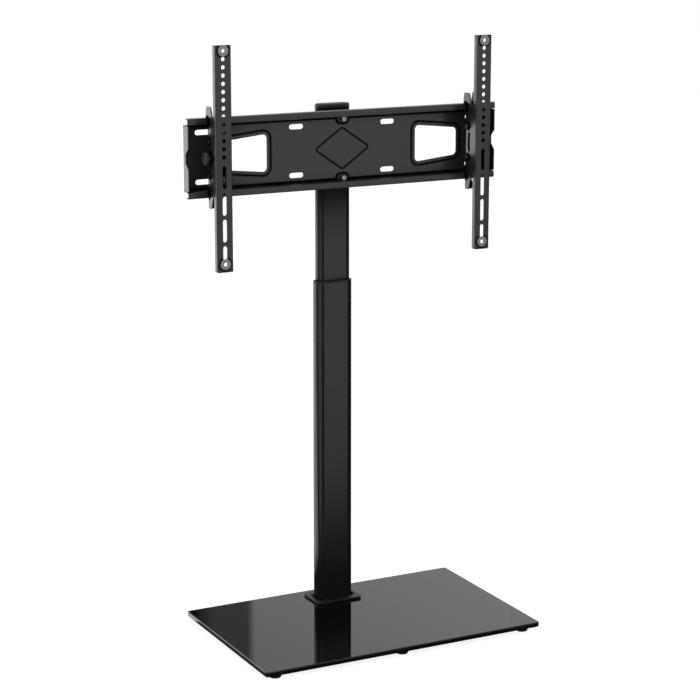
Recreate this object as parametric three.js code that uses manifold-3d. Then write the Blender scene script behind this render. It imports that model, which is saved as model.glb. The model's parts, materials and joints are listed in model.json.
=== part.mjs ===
// Height-adjustable floor stand with a glass base, a telescopic column and a tilting screen mount.
// Millimetres, +Z up, +X to the right of a viewer in front, +Y away from that viewer.
// The origin is on the floor, under the middle of the glass base.

import * as THREE from 'three';
import { mergeVertices } from 'three/addons/utils/BufferGeometryUtils.js';
import Module from 'manifold-3d';

const wasm = await Module();
wasm.setup();

// Clearances shared by all pieces
const seatGap = 0.3;
const cutOverrun = 5;

// Facets of round and bent forms
const wideSegments = 24;
const boltSegments = 12;
const cornerSegments = 2;
const slotSegments = 3;
const tubeSegments = 6;
const bendSegments = 2;
const hexagonSides = 6;

// Glass base and its rubber feet
const glassWidth = 604;
const glassDepth = 382;
const glassThickness = 10;
const glassCorner = 7;
const glassChamfer = 1.5;
const footHeight = 10;
const footTopDiameter = 28;
const footGroundDiameter = 22;
const footRim = 2;
const footInsetX = 29;
const footInsetY = 23;

// Column foot: plate welded under the tube, cover over it, clamp plate and bolts under the glass
const columnSetback = 131.5;
const footPlateWidth = 92;
const footPlateDepth = 64;
const footPlateThickness = 4;
const footPlateCorner = 6;
const coverWidth = 100;
const coverDepth = 72;
const coverCorner = 8;
const coverWall = 0.8;
const coverMouthCorner = 4;
const coverMouthMargin = 2;
const coverEdge = 0.5;
const clampPlateWidth = 120;
const clampPlateDepth = 90;
const clampPlateThickness = 3;
const clampPlateCorner = 10;
const clampFootMargin = 2;
const baseBoltSpacingX = 60;
const baseBoltSpacingY = 50;

// Telescopic column
const outerTubeWidth = 82;
const outerTubeDepth = 34;
const outerTubeWall = 1.8;
const outerTubeLength = 661;
const innerTubeWidth = 73;
const innerTubeDepth = 27;
const innerTubeWall = 1.6;
const innerTubeRise = 349;
const innerTubeOverlap = 225;
const guideFlange = 3;
const guideSleeve = 60;
const guideFitGap = 0.2;
const glideFlange = 3;
const glidePlug = 15;
const glideWall = 2;
const capRim = 4;
const capDome = 2.5;
const capInset = 3;
const capSegments = 3;
const capPlug = 12;
const capWall = 2.5;

// Height lock: two screws in welded bosses at the back of the outer tube
const lockBossDiameter = 16;
const lockBossHeight = 7;
const lockFirstDrop = 85;
const lockPitch = 60;

// Swivel between the column head and the mount plate
const mountDrop = 77.4;
const standoff = 28.3;
const pinReach = 14;
const bracketSheet = 3;
const earRadius = 10;
const columnBracketWidth = 44;
const columnEarLevel = 34;
const columnBoltSpacing = 32;
const swivelWebWidth = 60;
const swivelWebHeight = 134;
const swivelWebCorner = 5;
const swivelEarWidth = 40;
const swivelWasherDiameter = 18;
const swivelWasherThickness = 1;

// Mount plate: a pressed steel tray with lips and returns for the hooks
const plateLength = 668.4;
const plateHeight = 151.7;
const plateSheet = 2;
const trayDepth = 19.7;
const lipHeight = 12.8;
const returnDepth = 11.6;
const webFall = 1.75;
const plateBendRadius = 2.2;
const endFlangeHeight = 123;
const endFlangeChamfer = 6;
const endNotchMouth = 39.5;
const endNotchFloor = 16.7;
const endNotchDepth = 11.8;
const plateBoltSpacing = 114.7;
const tongueWidth = 26;
const tongueMargin = 9;
const tongueNotch = 10.5;
const tongueClearance = 1;

// Windows, diamond and slots of the mount plate
const windowInnerX = 162.2;
const windowOuterX = 256;
const windowInnerHeight = 73.4;
const windowOuterHeight = 54;
const windowCorner = 8;
const windowRim = 5;
const borderWidth = 6;
const borderDepth = 1.6;
const diamondWidth = 127;
const diamondHeight = 87;
const diamondCorner = 7;
const diamondGroove = 4.6;
const diamondDepth = 1.3;
const innerSlotX = 99.5;
const innerSlotLength = 30.4;
const outerSlotX = 294;
const outerSlotLength = 35;
const plateSlotWidth = 10;
const plateSlotSpacing = 94.2;

// Screen arms: channels with tilt wings
const armSpacing = 560.8;
const armFrontAhead = 45.65;
const armWidth = 33.3;
const armSheet = 2;
const armFlange = 10.8;
const armLength = 426.2;
const armTopRise = 214.2;
const armBendRadius = 1.5;
const armEndCorner = 3;
const armHoleDiameter = 8.2;
const armHoleCount = 14;
const armHoleDrop = 10.4;
const armHolePitch = 15.18;
const armSlotCount = 4;
const armSlotDrop = 223.9;
const armSlotPitch = 50.65;
const armSlotLength = 43.4;
const armSlotWidth = 8;
const wingReach = 37.65;
const wingRearHeight = 76;
const wingRootHeight = 140;
const wingCorner = 7;
const screenPattern = 400.2;
const armWasherDiameter = 21;
const armWasherBore = 7.6;
const armWasherThickness = 2;

// Tilt: the arms swing about a line that lies in front of them, guided by arc slots
const tiltAxisAhead = 50;
const tiltRise = 1.6;
const tiltLimit = 11;
const tiltSlotMargin = 0.4;
const guideRadius = 86.5;
const guideAngle = 21.15;
const knobRadius = 78;

// Hook brackets
const hookSheet = 2.5;
const hookOuterWidth = 20.8;
const hookFrontSetback = 15.15;
const hookFrontHeight = 114;
const hookRise = 21;
const hookThroat = 6;
const hookCrownDepth = 18.4;
const hookProng = 2.9;
const hookShoulder = 8;
const hookNoseSetback = 31.65;
const hookNoseRise = 1.5;
const hookTrayReach = 6;
const hookTailDrop = 20;
const hookTailDepth = 13;
const hookTrayMargin = 1.5;
const hookCorner = 3;
const safetyScrewSetback = 1;
const hookWebHeight = 58;
const hookTabDepth = 16;
const hookTabDrop = 6;
const weldNutDiameter = 14;
const weldNutHeight = 4;

// Knobs and screws
const knobDiameter = 27.5;
const knobLobes = 6;
const knobLobeDepth = 1.6;
const knobThickness = 8;
const knobBossDiameter = 16;
const knobBossHeight = 4;
const studDepthShare = 0.6;
const knobEdge = 1.2;
const knobPoints = 48;
const screwKnobTop = 9;
const screwKnobFoot = 13;
const screwKnobHeight = 10.5;

// Bolt sizes: shank diameter, head diameter, head height, socket width and socket depth
const smallBolt = { shank: 6, head: 10.5, headHeight: 3.3, socket: 4, socketDepth: 2 };
const plateBolt = { shank: 6, head: 10.5, headHeight: 7, socket: 5, socketDepth: 3 };
const largeBolt = { shank: 8, head: 14, headHeight: 4.4, socket: 5, socketDepth: 2.6 };
const smallNut = { bore: 6, flats: 10, height: 5 };
const largeNut = { bore: 8, flats: 13, height: 6.5 };
const boltTipLength = 1.8;
const headEdge = 1;
const plateWasherWidth = 24;
const plateWasherHeight = 14.6;
const plateWasherThickness = 2.5;

// Places that follow from the sizes above
const glassTop = footHeight + glassThickness;
const footPlateTop = glassTop + footPlateThickness;
const backFootY = glassDepth / 2 - footInsetY;
const outerTubeTop = footPlateTop + outerTubeLength;
const innerTubeTop = outerTubeTop + innerTubeRise;
const innerTubeBottom = outerTubeTop - innerTubeOverlap;
const mountHeight = innerTubeTop - mountDrop;
const tubeFront = columnSetback - innerTubeDepth / 2;
const pinY = tubeFront - pinReach;
const panelBack = tubeFront - standoff;
const panelFront = panelBack - plateSheet;
const lipFront = panelFront - trayDepth;
const halfPlate = plateHeight / 2;
const armFront = lipFront - armFrontAhead;
const armTop = mountHeight + armTopRise;
const tiltAxisY = armFront - tiltAxisAhead;
const tiltAxisZ = mountHeight + tiltRise;

const scene = new THREE.Group();

// Solids: a closed geometry becomes a solid that can be joined and cut, and goes back to a mesh
function solid(geometry) {
  const plain = new THREE.BufferGeometry();
  plain.setAttribute('position', geometry.getAttribute('position'));
  plain.setIndex(geometry.getIndex());
  const merged = mergeVertices(plain);
  const index = merged.getIndex().array;
  const triangles = [];
  for (let i = 0; i < index.length; i += 3) {
    const [a, b, c] = [index[i], index[i + 1], index[i + 2]];
    if (a !== b && b !== c && c !== a) triangles.push(a, b, c);
  }
  const mesh = new wasm.Mesh({
    numProp: 3,
    vertProperties: new Float32Array(merged.getAttribute('position').array),
    triVerts: new Uint32Array(triangles),
  });
  return new wasm.Manifold(mesh);
}

function addPiece(name, body, material) {
  const result = body.getMesh();
  const geometry = new THREE.BufferGeometry();
  geometry.setAttribute('position', new THREE.BufferAttribute(new Float32Array(result.vertProperties), 3));
  geometry.setIndex(new THREE.BufferAttribute(new Uint32Array(result.triVerts), 1));
  geometry.computeVertexNormals();
  const mesh = new THREE.Mesh(geometry, material());
  mesh.name = name;
  scene.add(mesh);
}

// Outlines. A corner of a polygon is [x, y], or [x, y, radius] where it has a radius of its own
function roundedPolygon(corners, radius) {
  const shape = new THREE.Shape();
  const count = corners.length;
  corners.forEach(([x, y, ownRadius], i) => {
    const cornerRadius = ownRadius ?? radius;
    const corner = new THREE.Vector2(x, y);
    const [px, py] = corners[(i + count - 1) % count];
    const [nx, ny] = corners[(i + 1) % count];
    const before = new THREE.Vector2(px, py).sub(corner).normalize();
    const after = new THREE.Vector2(nx, ny).sub(corner).normalize();
    const halfAngle = Math.acos(THREE.MathUtils.clamp(before.dot(after), -1, 1)) / 2;
    const reach = cornerRadius / Math.tan(halfAngle);
    const start = corner.clone().addScaledVector(before, reach);
    if (i === 0) shape.moveTo(start.x, start.y);
    else shape.lineTo(start.x, start.y);
    if (cornerRadius === 0) return;
    const end = corner.clone().addScaledVector(after, reach);
    const inward = before.clone().add(after).normalize();
    const centre = corner.clone().addScaledVector(inward, cornerRadius / Math.sin(halfAngle));
    const from = Math.atan2(start.y - centre.y, start.x - centre.x);
    const to = Math.atan2(end.y - centre.y, end.x - centre.x);
    shape.absarc(centre.x, centre.y, cornerRadius, from, to, before.cross(after) > 0);
  });
  shape.closePath();
  return shape;
}

function rectangleCorners(width, height, x = 0, y = 0) {
  const [w, h] = [width / 2, height / 2];
  return [[x - w, y - h], [x + w, y - h], [x + w, y + h], [x - w, y + h]];
}

function roundedRectangle(width, height, radius, x = 0, y = 0) {
  return roundedPolygon(rectangleCorners(width, height, x, y), radius);
}

function obround(width, height, x = 0, y = 0) {
  const radius = Math.min(width, height) / 2;
  const reach = (Math.max(width, height) / 2) - radius;
  const shape = new THREE.Shape();
  const quarter = Math.PI / 2;
  if (width >= height) {
    shape.absarc(x + reach, y, radius, -quarter, quarter, false);
    shape.absarc(x - reach, y, radius, quarter, quarter + Math.PI, false);
  } else {
    shape.absarc(x, y + reach, radius, 0, Math.PI, false);
    shape.absarc(x, y - reach, radius, Math.PI, Math.PI * 2, false);
  }
  shape.closePath();
  return shape;
}

function circle(diameter, x = 0, y = 0) {
  const shape = new THREE.Shape();
  shape.absarc(x, y, diameter / 2, 0, Math.PI, false);
  shape.absarc(x, y, diameter / 2, Math.PI, Math.PI * 2, false);
  return shape;
}

function hexagon(flats) {
  const radius = flats / Math.sqrt(3);
  const corners = [];
  for (let i = 0; i < hexagonSides; i += 1) {
    const angle = (Math.PI * 2 * i) / hexagonSides;
    corners.push(new THREE.Vector2(radius * Math.cos(angle), radius * Math.sin(angle)));
  }
  return new THREE.Shape(corners);
}

// A slot that follows an arc round the tilt axis, in the Y-Z plane
function arcSlot(radius, width, middleAngle, sweep) {
  const [low, high] = [middleAngle - sweep, middleAngle + sweep].map(THREE.MathUtils.degToRad);
  const shape = new THREE.Shape();
  const endAt = (angle) => [tiltAxisY + radius * Math.cos(angle), tiltAxisZ + radius * Math.sin(angle)];
  shape.absarc(tiltAxisY, tiltAxisZ, radius + width / 2, low, high, false);
  shape.absarc(...endAt(high), width / 2, high, high + Math.PI, false);
  shape.absarc(tiltAxisY, tiltAxisZ, radius - width / 2, high, low, true);
  shape.absarc(...endAt(low), width / 2, low + Math.PI, low + Math.PI * 2, false);
  shape.closePath();
  return shape;
}

// A bent strip of sheet: the path is the middle of the sheet, each bend is rounded
function bentSheet(path, thickness, bendRadius) {
  const line = [];
  path.forEach(([x, y], i) => {
    const point = new THREE.Vector2(x, y);
    if (i === 0 || i === path.length - 1) {
      line.push(point);
      return;
    }
    const before = new THREE.Vector2(...path[i - 1]).sub(point).normalize();
    const after = new THREE.Vector2(...path[i + 1]).sub(point).normalize();
    const reach = bendRadius / Math.tan(Math.acos(before.dot(after)) / 2);
    const start = point.clone().addScaledVector(before, reach);
    const end = point.clone().addScaledVector(after, reach);
    line.push(...new THREE.QuadraticBezierCurve(start, point, end).getPoints(bendSegments));
  });
  const sides = [[], []];
  line.forEach((point, i) => {
    const along = new THREE.Vector2().subVectors(line[Math.min(i + 1, line.length - 1)], point).normalize();
    const back = new THREE.Vector2().subVectors(point, line[Math.max(i - 1, 0)]).normalize();
    if (i === 0) back.copy(along);
    if (i === line.length - 1) along.copy(back);
    const across = along.clone().add(back).normalize();
    const normal = new THREE.Vector2(-across.y, across.x);
    const widened = thickness / 2 / Math.sqrt((1 + along.dot(back)) / 2);
    sides[0].push(point.clone().addScaledVector(normal, -widened));
    sides[1].unshift(point.clone().addScaledVector(normal, widened));
  });
  return new THREE.Shape([...sides[0], ...sides[1]]);
}

// Extrusions: upward from a level, back from a plane across Y, or across X about a middle
function extruded(shape, depth, segments, edge = 0) {
  return new THREE.ExtrudeGeometry(shape, {
    depth: depth - edge * 2,
    curveSegments: segments,
    bevelEnabled: edge > 0,
    bevelThickness: edge,
    bevelSize: edge,
    bevelOffset: -edge,
    bevelSegments: 1,
  }).translate(0, 0, edge);
}

function upward(shape, bottom, height, segments = cornerSegments, edge = 0) {
  return solid(extruded(shape, height, segments, edge).translate(0, 0, bottom));
}

function backward(shape, front, depth, segments = cornerSegments, edge = 0) {
  const turned = extruded(shape, depth, segments, edge).rotateX(Math.PI / 2);
  return solid(turned.translate(0, front + depth, 0));
}

const acrossX = new THREE.Matrix4().makeBasis(
  new THREE.Vector3(0, 1, 0),
  new THREE.Vector3(0, 0, 1),
  new THREE.Vector3(1, 0, 0),
);

function sideways(shape, left, width, segments = cornerSegments, edge = 0) {
  return solid(extruded(shape, width, segments, edge).applyMatrix4(acrossX).translate(left, 0, 0));
}

function box(left, right, front, back, bottom, top) {
  const geometry = new THREE.BoxGeometry(right - left, back - front, top - bottom);
  return solid(geometry.translate((left + right) / 2, (front + back) / 2, (bottom + top) / 2));
}

function joined(bodies) {
  return bodies.reduce((sum, body) => sum.add(body));
}

function without(body, cuts) {
  return cuts.reduce((rest, cut) => rest.subtract(cut), body);
}

// Turned pieces stand on the origin along +Z, and are then aimed and moved to their place
function turned(profile, segments = boltSegments) {
  const points = profile.map(([r, z]) => new THREE.Vector2(r, z));
  return new THREE.LatheGeometry(points, segments).rotateX(Math.PI / 2);
}

const aims = {
  up: (g) => g,
  down: (g) => g.rotateX(Math.PI),
  forward: (g) => g.rotateX(Math.PI / 2),
  backward: (g) => g.rotateX(-Math.PI / 2),
  left: (g) => g.rotateY(-Math.PI / 2),
  right: (g) => g.rotateY(Math.PI / 2),
};

function placed(geometry, aim, x, y, z) {
  return solid(aims[aim](geometry).translate(x, y, z));
}

// A rod with the given diameter that stands on the place and points along the aim
function rod(diameter, length, aim, x, y, z, segments = boltSegments) {
  const profile = [[0, 0], [diameter / 2, 0], [diameter / 2, length], [0, length]];
  return placed(turned(profile, segments), aim, x, y, z);
}

// A socket-head bolt: the underside of its head lies at the place and its head points along the aim
function bolt(size, grip, aim, x, y, z) {
  const shank = size.shank / 2;
  const head = size.head / 2;
  const tip = -grip;
  const body = placed(turned([
    [0, tip],
    [shank - headEdge, tip],
    [shank, tip + headEdge],
    [shank, 0],
    [head, 0],
    [head, size.headHeight - headEdge],
    [head - headEdge, size.headHeight],
    [0, size.headHeight],
  ]), aim, x, y, z);
  const socket = extruded(hexagon(size.socket), size.socketDepth + cutOverrun, 1);
  socket.translate(0, 0, size.headHeight - size.socketDepth);
  return body.subtract(placed(socket, aim, x, y, z));
}

// A hexagon nut whose seat lies at the place, with its body along the aim
function nut(size, aim, x, y, z) {
  const body = placed(extruded(hexagon(size.flats), size.height, 1), aim, x, y, z);
  const bore = turned([
    [0, -cutOverrun],
    [size.bore / 2 + seatGap, -cutOverrun],
    [size.bore / 2 + seatGap, size.height + cutOverrun],
    [0, size.height + cutOverrun],
  ]);
  return body.subtract(placed(bore, aim, x, y, z));
}

function hole(diameter) {
  return diameter + seatGap * 2;
}

// Materials
function surface(color, roughness, metalness) {
  return new THREE.MeshStandardMaterial({ color, roughness, metalness });
}

const blackGlass = () => surface(0x0b0b0d, 0.06, 0);
const powderCoat = () => surface(0x2c2c2e, 0.55, 0.3);
const tubePaint = () => surface(0x202022, 0.42, 0.3);
const blackPlastic = () => surface(0x161617, 0.5, 0);
const blackRubber = () => surface(0x101010, 0.85, 0);
const zinc = () => surface(0xc4c6c8, 0.3, 0.9);
const blackScrew = () => surface(0x1c1c1e, 0.4, 0.7);
const greyWasher = () => surface(0x808285, 0.55, 0.2);

// Base
const baseBoltPlaces = [];
for (const sideX of [-1, 1]) {
  for (const sideY of [-1, 1]) {
    baseBoltPlaces.push([sideX * baseBoltSpacingX / 2, columnSetback + sideY * baseBoltSpacingY / 2]);
  }
}

function baseBoltHoles(bottom, top) {
  const length = top - bottom + cutOverrun * 2;
  return baseBoltPlaces.map(([x, y]) => rod(hole(smallBolt.shank), length, 'up', x, y, bottom - cutOverrun));
}

function glassBase() {
  const outline = roundedRectangle(glassWidth, glassDepth, glassCorner);
  const slab = upward(outline, footHeight, glassThickness, slotSegments, glassChamfer);
  return without(slab, baseBoltHoles(footHeight, glassTop));
}

function rubberFoot(x, y) {
  const profile = [
    [0, 0],
    [footGroundDiameter / 2, 0],
    [footTopDiameter / 2, footHeight - footRim],
    [footTopDiameter / 2, footHeight],
    [0, footHeight],
  ];
  return placed(turned(profile, wideSegments), 'up', x, y, 0);
}

function footPlate() {
  const outline = roundedRectangle(footPlateWidth, footPlateDepth, footPlateCorner, 0, columnSetback);
  const plate = upward(outline, glassTop, footPlateThickness);
  return without(plate, baseBoltHoles(glassTop, footPlateTop));
}

function footCover() {
  const ceiling = footPlateThickness + seatGap;
  const height = ceiling + coverWall;
  const outline = roundedRectangle(coverWidth, coverDepth, coverCorner, 0, columnSetback);
  const hollowWidth = coverWidth - coverWall * 2;
  const hollowDepth = coverDepth - coverWall * 2;
  const hollow = roundedRectangle(hollowWidth, hollowDepth, coverCorner - coverWall, 0, columnSetback);
  const mouthWidth = outerTubeWidth + coverMouthMargin * 2;
  const mouthDepth = outerTubeDepth + coverMouthMargin * 2;
  const mouth = roundedRectangle(mouthWidth, mouthDepth, coverMouthCorner, 0, columnSetback);
  return without(upward(outline, glassTop, height, slotSegments, coverEdge), [
    upward(hollow, glassTop - cutOverrun, ceiling + cutOverrun),
    upward(mouth, glassTop, height + cutOverrun),
  ]);
}

// The clamp plate has a recess for the middle foot at the back
function clampPlate() {
  const outline = roundedRectangle(clampPlateWidth, clampPlateDepth, clampPlateCorner, 0, columnSetback);
  const bottom = footHeight - clampPlateThickness;
  const recessWidth = footTopDiameter + clampFootMargin * 2;
  const recess = obround(recessWidth, recessWidth + clampPlateDepth, 0, backFootY + clampPlateDepth / 2);
  return without(upward(outline, bottom, clampPlateThickness), [
    upward(recess, bottom - cutOverrun, clampPlateThickness + cutOverrun * 2, slotSegments),
    ...baseBoltHoles(bottom, footHeight),
  ]);
}

addPiece('glass_base', glassBase(), blackGlass);
const footRows = { front: -1, back: 1 };
const footColumns = { left: -1, middle: 0, right: 1 };
for (const [row, sideY] of Object.entries(footRows)) {
  for (const [column, sideX] of Object.entries(footColumns)) {
    const x = sideX * (glassWidth / 2 - footInsetX);
    const y = sideY * backFootY;
    addPiece(`foot_${row}_${column}`, rubberFoot(x, y), blackRubber);
  }
}
addPiece('foot_plate', footPlate(), powderCoat);
addPiece('foot_cover', footCover(), blackPlastic);
addPiece('clamp_plate', clampPlate(), powderCoat);
baseBoltPlaces.forEach(([x, y], i) => {
  const grip = footPlateTop - footHeight + clampPlateThickness - seatGap;
  const body = bolt(smallBolt, grip, 'down', x, y, footHeight - clampPlateThickness);
  addPiece(`base_bolt_${i + 1}`, body, zinc);
});

// Column
function columnSection(width, depth) {
  return obround(width, depth, 0, columnSetback);
}

function hollowTube(width, depth, wall, bottom, height) {
  const bore = columnSection(width - wall * 2, depth - wall * 2);
  const outside = upward(columnSection(width, depth), bottom, height, tubeSegments);
  return outside.subtract(upward(bore, bottom - cutOverrun, height + cutOverrun * 2, tubeSegments));
}

const tubeBack = columnSetback + outerTubeDepth / 2;
const lockLevels = [0, 1].map((i) => outerTubeTop - lockFirstDrop - i * lockPitch);

function outerTube() {
  const tube = hollowTube(outerTubeWidth, outerTubeDepth, outerTubeWall, footPlateTop, outerTubeLength);
  const root = tubeBack - outerTubeWall / 2;
  const boss = (z) => rod(lockBossDiameter, lockBossHeight + outerTubeWall / 2, 'backward', 0, root, z);
  const boreStart = tubeBack - outerTubeWall - cutOverrun;
  const boreLength = lockBossHeight + outerTubeWall + cutOverrun * 2;
  const bore = (z) => rod(hole(largeBolt.shank), boreLength, 'backward', 0, boreStart, z);
  return without(joined([tube, ...lockLevels.map(boss)]), lockLevels.map(bore));
}

function tubeGuide() {
  const boreWidth = outerTubeWidth - outerTubeWall * 2 - guideFitGap * 2;
  const boreDepth = outerTubeDepth - outerTubeWall * 2 - guideFitGap * 2;
  const bottom = outerTubeTop - guideSleeve;
  const height = guideSleeve + guideFlange;
  const rim = columnSection(outerTubeWidth, outerTubeDepth);
  const flange = upward(rim, outerTubeTop, guideFlange, tubeSegments);
  const sleeve = upward(columnSection(boreWidth, boreDepth), bottom, height, tubeSegments);
  const mouth = columnSection(innerTubeWidth + seatGap * 2, innerTubeDepth + seatGap * 2);
  const passage = upward(mouth, bottom - cutOverrun, height + cutOverrun * 2, tubeSegments);
  return flange.add(sleeve).subtract(passage);
}

const columnBoltLevels = [-1, 1].map((side) => mountHeight + side * columnBoltSpacing / 2);

function columnBoltHoles(front, back) {
  const length = back - front + cutOverrun * 2;
  const drill = (z) => rod(hole(largeBolt.shank), length, 'backward', 0, front - cutOverrun, z);
  return columnBoltLevels.map(drill);
}

function innerTube() {
  const length = innerTubeTop - innerTubeBottom;
  const tube = hollowTube(innerTubeWidth, innerTubeDepth, innerTubeWall, innerTubeBottom, length);
  return without(tube, columnBoltHoles(tubeFront, tubeFront + innerTubeWall));
}

function tubePlug(wall, bottom, height) {
  const width = innerTubeWidth - innerTubeWall * 2 - seatGap * 2;
  const depth = innerTubeDepth - innerTubeWall * 2 - seatGap * 2;
  return hollowTube(width, depth, wall, bottom, height);
}

function lowerGlide() {
  const width = outerTubeWidth - outerTubeWall * 2 - seatGap * 2;
  const depth = outerTubeDepth - outerTubeWall * 2 - seatGap * 2;
  const plugWidth = innerTubeWidth - innerTubeWall * 2 - seatGap * 2;
  const plugDepth = innerTubeDepth - innerTubeWall * 2 - seatGap * 2;
  const flangeWall = (width - plugWidth) / 2 + glideWall;
  const bore = columnSection(plugWidth - glideWall * 2, plugDepth - glideWall * 2);
  const bottom = innerTubeBottom - glideFlange;
  const flange = upward(columnSection(width, depth), bottom, glideFlange, tubeSegments);
  const passage = upward(bore, bottom - cutOverrun, glideFlange + cutOverrun * 2, tubeSegments);
  return flange.subtract(passage).add(tubePlug(glideWall, innerTubeBottom - glideFlange / 2, glidePlug));
}

function columnCap() {
  const dome = new THREE.ExtrudeGeometry(columnSection(innerTubeWidth, innerTubeDepth), {
    depth: capRim + capDome,
    curveSegments: tubeSegments,
    bevelThickness: capDome,
    bevelSize: capInset,
    bevelOffset: -capInset,
    bevelSegments: capSegments,
  });
  const head = solid(dome.translate(0, 0, innerTubeTop - capDome));
  const [width, depth] = [innerTubeWidth, columnSetback + innerTubeDepth];
  const below = box(-width, width, 0, depth, innerTubeTop - capDome - cutOverrun, innerTubeTop);
  return head.subtract(below).add(tubePlug(capWall, innerTubeTop - capPlug, capPlug + capRim / 2));
}

addPiece('outer_tube', outerTube(), tubePaint);
addPiece('tube_guide', tubeGuide(), blackPlastic);
addPiece('inner_tube', innerTube(), tubePaint);
addPiece('lower_glide', lowerGlide(), blackPlastic);
addPiece('column_cap', columnCap(), blackPlastic);
lockLevels.forEach((z, i) => {
  const headSeat = tubeBack + lockBossHeight;
  const tip = columnSetback + innerTubeDepth / 2 + seatGap;
  addPiece(`lock_bolt_${i + 1}`, bolt(largeBolt, headSeat - tip, 'backward', 0, headSeat, z), blackScrew);
});

// Swivel: ears of the column bracket outside, ears of the swivel bracket inside, one pin through all
const columnEarOuter = columnEarLevel + bracketSheet;
const swivelEarOuter = columnEarLevel - seatGap - swivelWasherThickness;
const swivelEarInner = swivelEarOuter - bracketSheet;

function ear(rootWidth, rootY, inner) {
  const shape = new THREE.Shape();
  const tipBehind = pinY > rootY;
  const turn = tipBehind ? 0 : Math.PI;
  const side = tipBehind ? 1 : -1;
  shape.moveTo(-side * rootWidth / 2, rootY);
  shape.lineTo(side * rootWidth / 2, rootY);
  shape.lineTo(side * earRadius, pinY);
  shape.absarc(0, pinY, earRadius, turn, turn + Math.PI, false);
  shape.closePath();
  return [mountHeight + inner, mountHeight - inner - bracketSheet].map((z) => {
    const plate = upward(shape, z, bracketSheet, slotSegments);
    const bore = rod(hole(largeBolt.shank), bracketSheet + cutOverrun * 2, 'up', 0, pinY, z - cutOverrun);
    return plate.subtract(bore);
  });
}

function columnBracket() {
  const half = columnBracketWidth / 2;
  const front = tubeFront - bracketSheet;
  const web = box(-half, half, front, tubeFront, mountHeight - columnEarOuter, mountHeight + columnEarOuter);
  const bracket = joined([web, ...ear(columnBracketWidth, front + bracketSheet / 2, columnEarLevel)]);
  return without(bracket, columnBoltHoles(front, tubeFront));
}

const plateBoltLevels = [-1, 1].map((side) => mountHeight + side * plateBoltSpacing / 2);

function plateBoltHoles(front, back) {
  const length = back - front + cutOverrun * 2;
  return plateBoltLevels.map((z) => rod(hole(plateBolt.shank), length, 'backward', 0, front - cutOverrun, z));
}

function swivelBracket() {
  const outline = roundedRectangle(swivelWebWidth, swivelWebHeight, swivelWebCorner, 0, mountHeight);
  const web = backward(outline, panelBack, bracketSheet);
  const back = panelBack + bracketSheet;
  const drilled = without(web, plateBoltHoles(panelBack, back));
  return joined([drilled, ...ear(swivelEarWidth, back - bracketSheet / 2, swivelEarInner)]);
}

function washer(diameter, bore, thickness, aim, x, y, z, segments) {
  const profile = [
    [bore / 2, 0],
    [diameter / 2, 0],
    [diameter / 2, thickness],
    [bore / 2, thickness],
    [bore / 2, 0],
  ];
  return placed(turned(profile, segments), aim, x, y, z);
}

addPiece('column_bracket', columnBracket(), powderCoat);
columnBoltLevels.forEach((z, i) => {
  const grip = bracketSheet + innerTubeWall + boltTipLength;
  addPiece(`column_bolt_${i + 1}`, bolt(largeBolt, grip, 'forward', 0, tubeFront - bracketSheet, z), zinc);
});
addPiece('swivel_bracket', swivelBracket(), powderCoat);
const pinGrip = columnEarOuter * 2 + largeNut.height + boltTipLength;
addPiece('swivel_pin', bolt(largeBolt, pinGrip, 'up', 0, pinY, mountHeight + columnEarOuter), zinc);
addPiece('swivel_nut', nut(largeNut, 'down', 0, pinY, mountHeight - columnEarOuter), zinc);
const swivelWasherSeats = { top: ['up', 1], bottom: ['down', -1] };
for (const [place, [aim, side]] of Object.entries(swivelWasherSeats)) {
  const z = mountHeight + side * swivelEarOuter;
  const ring = washer(swivelWasherDiameter, hole(largeBolt.shank), swivelWasherThickness, aim, 0, pinY, z);
  addPiece(`swivel_washer_${place}`, ring, blackPlastic);
}

// Mount plate
function trayProfile() {
  const half = plateSheet / 2;
  const web = halfPlate - lipHeight + half;
  const upper = [
    [lipFront + returnDepth, halfPlate - half],
    [lipFront + half, halfPlate - half],
    [lipFront + half, web],
    [panelFront + half, web - webFall],
  ];
  const lower = upper.map(([y, z]) => [y, -z]).reverse();
  const path = [...upper, ...lower].map(([y, z]) => [y, mountHeight + z]);
  return bentSheet(path, plateSheet, plateBendRadius);
}

function endFlange(side) {
  const half = endFlangeHeight / 2;
  const corner = endFlangeChamfer;
  const notch = lipFront + endNotchDepth;
  const outline = [
    [lipFront, -half],
    [panelBack - corner, -half],
    [panelBack, corner - half],
    [panelBack, half - corner],
    [panelBack - corner, half],
    [lipFront, half],
    [lipFront, endNotchMouth / 2],
    [notch, endNotchFloor / 2],
    [notch, -endNotchFloor / 2],
    [lipFront, -endNotchMouth / 2],
  ];
  const shape = new THREE.Shape(outline.map(([y, z]) => new THREE.Vector2(y, mountHeight + z)));
  const left = side < 0 ? -plateLength / 2 : plateLength / 2 - plateSheet;
  return sideways(shape, left, plateSheet);
}

function windowOutline(side, grow) {
  const slope = (windowInnerHeight - windowOuterHeight) / 2 / (windowOuterX - windowInnerX);
  const lift = grow * Math.sqrt(1 + slope * slope);
  const innerX = windowInnerX - grow;
  const outerX = windowOuterX + grow;
  const innerHalf = windowInnerHeight / 2 + slope * grow + lift;
  const outerHalf = windowOuterHeight / 2 - slope * grow + lift;
  const corners = [[innerX, -innerHalf], [outerX, -outerHalf], [outerX, outerHalf], [innerX, innerHalf]];
  const placedCorners = corners.map(([x, z]) => [side * x, mountHeight + z]);
  if (side < 0) placedCorners.reverse();
  return roundedPolygon(placedCorners, windowCorner + grow);
}

function diamondOutline(inset) {
  const [width, height] = [diamondWidth / 2, diamondHeight / 2];
  const share = 1 - inset * Math.sqrt(1 / (width * width) + 1 / (height * height));
  const [x, z] = [width * share, height * share];
  const corners = [[-x, mountHeight], [0, mountHeight - z], [x, mountHeight], [0, mountHeight + z]];
  return roundedPolygon(corners, diamondCorner - inset);
}

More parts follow.
